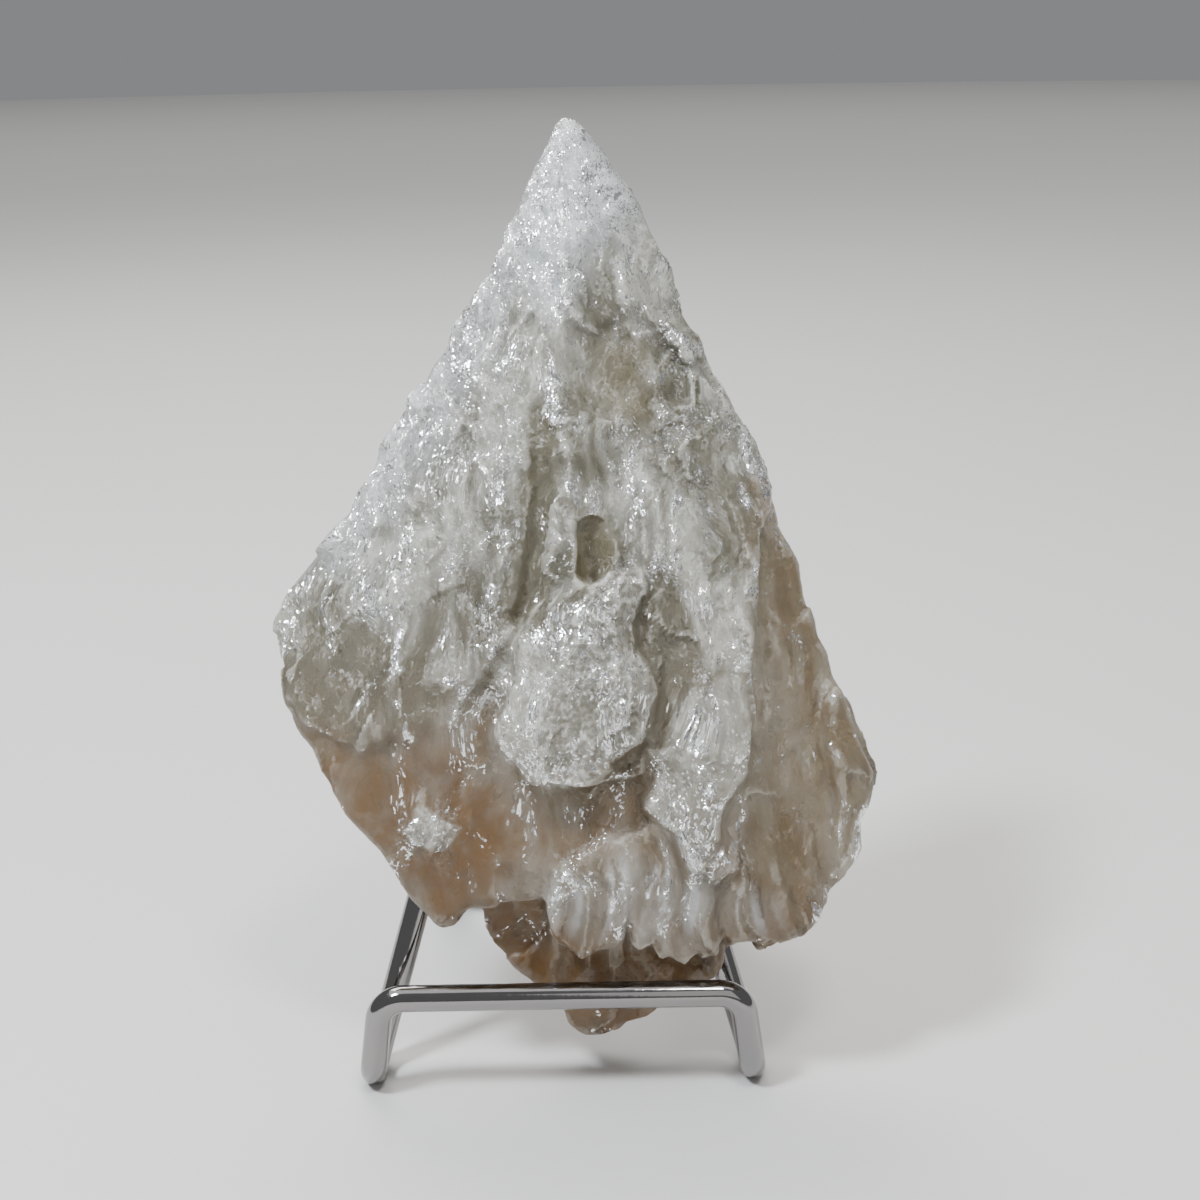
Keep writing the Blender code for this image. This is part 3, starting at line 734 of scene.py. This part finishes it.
def wire_shape(path, closed):
    """A round wire along a path, closed on itself or with flat ends, cut flat under its feet."""
    curve = bpy.data.curves.new("wire line", "CURVE")
    curve.dimensions = "3D"
    curve.bevel_depth = WIRE / 2 * MM
    curve.bevel_resolution = (WIRE_SIDES - 4) // 2
    curve.use_fill_caps = True
    spline = curve.splines.new("POLY")
    spline.points.add(len(path) - 1)
    shift = easel_shift()
    for point, place in zip(spline.points, path):
        point.co = (*((place + shift) * MM), 1.0)
    spline.use_cyclic_u = closed
    line = bpy.data.objects.new("wire line", curve)
    bpy.context.scene.collection.objects.link(line)
    bpy.context.view_layer.update()
    graph = bpy.context.evaluated_depsgraph_get()
    mesh = bpy.data.meshes.new_from_object(line.evaluated_get(graph))
    bpy.data.objects.remove(line)
    shape = bmesh.new()
    shape.from_mesh(mesh)
    bpy.data.meshes.remove(mesh)
    bmesh.ops.remove_doubles(shape, verts=shape.verts, dist=1e-6)
    geometry = [*shape.verts, *shape.edges, *shape.faces]
    floor = {"plane_co": (0, 0, 0), "plane_no": (0, 0, -1)}
    cut = bmesh.ops.bisect_plane(shape, geom=geometry, clear_outer=True, **floor)
    rim = [item for item in cut["geom_cut"] if isinstance(item, bmesh.types.BMEdge)]
    bmesh.ops.holes_fill(shape, edges=rim, sides=0)
    bmesh.ops.recalc_face_normals(shape, faces=shape.faces)
    return shape


def weld_place(side):
    """The middle of a weld bead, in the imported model's frame, on the left for -1 and the right for 1."""
    place = upright_place(LEG_JOIN) + Vector(WELD_PLACE)
    place.x *= side
    return place + easel_shift()


def add_weld(shape, side):
    """A small uneven bead of weld where the back leg meets an upright."""
    made = bmesh.ops.create_icosphere(shape, subdivisions=4, radius=1.0)["verts"]
    for corner in made:
        swell = 1.0 + WELD_SWELL * noise.noise(corner.co * 2.2 + Vector((side, 0, 0)))
        corner.co = corner.co * Vector(WELD_HALF) * swell
    bmesh.ops.rotate(shape, verts=made, matrix=Matrix.Rotation(-LEAN, 3, "X"))
    bmesh.ops.scale(shape, verts=made, vec=(MM, MM, MM))
    bmesh.ops.translate(shape, verts=made, vec=weld_place(side) * MM)


def weld_share(mesh):
    """1 near the two welds and 0 away from them."""
    places = corners_of(mesh) / MM
    nearest = np.full(len(places), np.inf)
    for side in (-1, 1):
        nearest = np.minimum(nearest, np.linalg.norm(places - np.array(weld_place(side)), axis=1))
    return 1.0 - eased(nearest, *WELD_MARK)


def build_easel(settings):
    chrome = chrome_material(settings)
    for name, node, path, closed in (
        ("front_loop_wire", "easel_front_loop", front_loop_path(), True),
        ("back_leg_wire", "easel_back_leg", back_leg_path(), False),
    ):
        shape = wire_shape(path, closed)
        if not closed:
            for side in (-1, 1):
                add_weld(shape, side)
        mesh = bpy.data.meshes.new(name)
        shape.to_mesh(mesh)
        shape.free()
        mesh.shade_smooth()
        add_numbers(mesh, "weld", weld_share(mesh))
        add_piece(name, mesh, chrome, node)


def add_light(name, place, aim, size, power, colour):
    """A soft square light that faces a point; places are in metres and power is in watts."""
    light = bpy.data.lights.new(name, "AREA")
    light.size = size
    light.energy = power
    light.color = colour
    lamp = bpy.data.objects.new(name, light)
    lamp.location = place
    lamp.rotation_euler = (Vector(aim) - Vector(place)).to_track_quat("-Z", "Y").to_euler()
    bpy.context.scene.collection.objects.link(lamp)


def build_floor(settings):
    """A wide, round, pale floor."""
    shape = bmesh.new()
    bmesh.ops.create_circle(shape, cap_ends=True, segments=FLOOR_SIDES, radius=FLOOR_RADIUS)
    bmesh.ops.recalc_face_normals(shape, faces=shape.faces)
    if sum(face.normal.z for face in shape.faces) < 0:
        bmesh.ops.reverse_faces(shape, faces=shape.faces)
    mesh = bpy.data.meshes.new("floor")
    shape.to_mesh(mesh)
    shape.free()
    mesh.shade_smooth()
    mesh.materials.append(floor_material(settings))
    floor = bpy.data.objects.new("floor", mesh)
    bpy.context.scene.collection.objects.link(floor)


def build_light(settings):
    """A soft light from behind and above, a weaker one in front, and an even room."""
    for name, place, aim, size, power, colour in LIGHTS:
        add_light(name, place, aim, size, getattr(settings, power), colour)
    world = bpy.data.worlds.new("soft room")
    world.use_nodes = True
    background = world.node_tree.nodes["Background"]
    background.inputs["Color"].default_value = opaque(settings.room_colour)
    background.inputs["Strength"].default_value = settings.room_light
    bpy.context.scene.world = world


def build_camera():
    """The photograph's view: in front, as high as the stone's tip, and turned down to its middle."""
    lens = bpy.data.cameras.new("camera")
    lens.lens = CAMERA_LENS
    lens.sensor_width = 36.0
    lens.clip_start = 0.01
    camera = bpy.data.objects.new("camera", lens)
    camera.location = (Vector(CAMERA_PLACE) + easel_shift()) * MM
    view = Matrix.Rotation(CAMERA_PITCH, 3, "X") @ Matrix.Rotation(CAMERA_ROLL, 3, "Z")
    camera.rotation_euler = view.to_euler()
    bpy.context.scene.collection.objects.link(camera)
    bpy.context.scene.camera = camera


def colour_choice(name, description, default):
    return bpy.props.FloatVectorProperty(
        name=name, description=description, default=default, subtype="COLOR", size=3, min=0.0, max=1.0
    )


def power_choice(name, default):
    return bpy.props.FloatProperty(name=name, description="Its power", default=default, unit="POWER")


class StoneSettings(bpy.types.PropertyGroup):
    """Sizes and colours of the stone."""

    voxel: bpy.props.FloatProperty(
        name="Face size",
        description="How fine the stone's mesh is",
        default=0.0004,
        unit="LENGTH",
        precision=5,
    )
    detail: bpy.props.FloatProperty(
        name="Breakage",
        description="How deep the broken shards are",
        default=1.0,
        subtype="FACTOR",
        max=2.0,
    )
    see_through: bpy.props.FloatProperty(
        name="See-through",
        description="How much light passes through",
        default=0.5,
        subtype="FACTOR",
        max=1.0,
    )
    milk: bpy.props.FloatProperty(
        name="Milkiness",
        description="How much light spreads under the surface",
        default=1.0,
        subtype="FACTOR",
        max=1.0,
    )
    milk_depth: bpy.props.FloatProperty(
        name="Milk depth",
        description="How far light spreads in the milky stone",
        default=0.0019,
        unit="LENGTH",
    )
    refraction: bpy.props.FloatProperty(name="Refraction", description="Index of refraction", default=1.544)
    depth_density: bpy.props.FloatProperty(
        name="Depth tint", description="How fast the stone takes its depth colour, per metre", default=60.0
    )
    depth_colour: colour_choice("Depth colour", "The colour of thick stone", (0.74, 0.72, 0.62))
    body_colour: colour_choice("Body", "The stone's greenish grey", (0.23, 0.215, 0.165))
    cloud_colour: colour_choice("Clouds", "The milky clouds in it", (0.60, 0.59, 0.535))
    # Partly the stone's own brown, partly painted brown light seen through its low parts.
    warm_colour: colour_choice("Warm parts", "The waxy brown of the low parts", (0.20, 0.098, 0.022))
    window_colour: colour_choice("Windows", "The clear dark places", (0.215, 0.185, 0.11))
    frost_colour: colour_choice("Frost", "Frosted edges and lumps", (0.87, 0.85, 0.79))
    speck_colour: colour_choice("Specks", "Fine dark specks", (0.05, 0.04, 0.03))
    # The colour of the painted highlight on the tip and the upper left edge.
    painted_sheen_colour: colour_choice("Sheen", "The cool sheen of the tip and upper left edge", (0.91, 0.95, 1.0))
    flash_colour: colour_choice("Flashes", "Small mirror-like breaks inside the stone", (0.93, 0.94, 0.95))
    stain_colour: colour_choice("Stain", "The rusty stain near the right edge", (0.26, 0.17, 0.09))


class EaselSettings(bpy.types.PropertyGroup):
    """Colours of the easel."""

    chrome_colour: colour_choice("Chrome", "The bright plating", (0.29, 0.28, 0.28))
    tarnish_colour: colour_choice("Dull plating", "Where the plating is a little dull", (0.32, 0.30, 0.29))
    weld_colour: colour_choice("Weld", "Heat-darkened metal at the welds", (0.34, 0.31, 0.28))


class StageSettings(bpy.types.PropertyGroup):
    """The floor and the light."""

    floor_colour: colour_choice("Floor", "The pale floor", (0.62, 0.61, 0.595))
    floor_shade: colour_choice("Floor shade", "Its slightly darker clouds", (0.59, 0.58, 0.565))
    room_colour: colour_choice("Room", "The even light of the room", (0.86, 0.88, 0.90))
    room_light: bpy.props.FloatProperty(name="Room light", description="Its strength", default=0.28)
    ceiling_power: power_choice("Ceiling light", 34.0)
    back_power: power_choice("Back light", 3.6)
    glint_power: power_choice("Top left light", 4.0)
    top_power: power_choice("Top light", 1.6)
    front_power: power_choice("Front light", 0.7)


class QUARTZ_OT_stone(bpy.types.Operator):
    """Make the rough quartz point"""

    bl_idname = "quartz.stone"
    bl_label = "Quartz point"

    def execute(self, context):
        build_stone(context.scene.quartz_stone)
        return {"FINISHED"}


class QUARTZ_OT_easel(bpy.types.Operator):
    """Make the wire easel's front loop and back leg"""

    bl_idname = "quartz.easel"
    bl_label = "Wire easel"

    def execute(self, context):
        build_easel(context.scene.quartz_easel)
        return {"FINISHED"}


class QUARTZ_OT_stage(bpy.types.Operator):
    """Make the floor, the light and the camera"""

    bl_idname = "quartz.stage"
    bl_label = "Floor, light and camera"

    def execute(self, context):
        build_floor(context.scene.quartz_stage)
        build_light(context.scene.quartz_stage)
        build_camera()
        return {"FINISHED"}


class QUARTZ_PT_panel(bpy.types.Panel):
    """The steps that dress the quartz point"""

    bl_label = "Quartz point"
    bl_space_type = "VIEW_3D"
    bl_region_type = "UI"
    bl_category = "Quartz"

    def draw(self, context):
        scene = context.scene
        for step, settings in (
            (QUARTZ_OT_stone, scene.quartz_stone),
            (QUARTZ_OT_easel, scene.quartz_easel),
            (QUARTZ_OT_stage, scene.quartz_stage),
        ):
            box = self.layout.box()
            box.operator(step.bl_idname)
            for name in settings.bl_rna.properties.keys():
                if name not in ("rna_type", "name"):
                    box.prop(settings, name)


CLASSES = (
    StoneSettings, EaselSettings, StageSettings,
    QUARTZ_OT_stone, QUARTZ_OT_easel, QUARTZ_OT_stage, QUARTZ_PT_panel,
)
SETTINGS = {"quartz_stone": StoneSettings, "quartz_easel": EaselSettings, "quartz_stage": StageSettings}


def register():
    for made in CLASSES:
        bpy.utils.register_class(made)
    for name, group in SETTINGS.items():
        setattr(bpy.types.Scene, name, bpy.props.PointerProperty(type=group))


def unregister():
    for name in SETTINGS:
        delattr(bpy.types.Scene, name)
    for made in reversed(CLASSES):
        bpy.utils.unregister_class(made)


def main():
    register()
    bpy.ops.quartz.stone()
    bpy.ops.quartz.easel()
    bpy.ops.quartz.stage()
    bpy.context.view_layer.update()


if __name__ == "__main__":
    main()
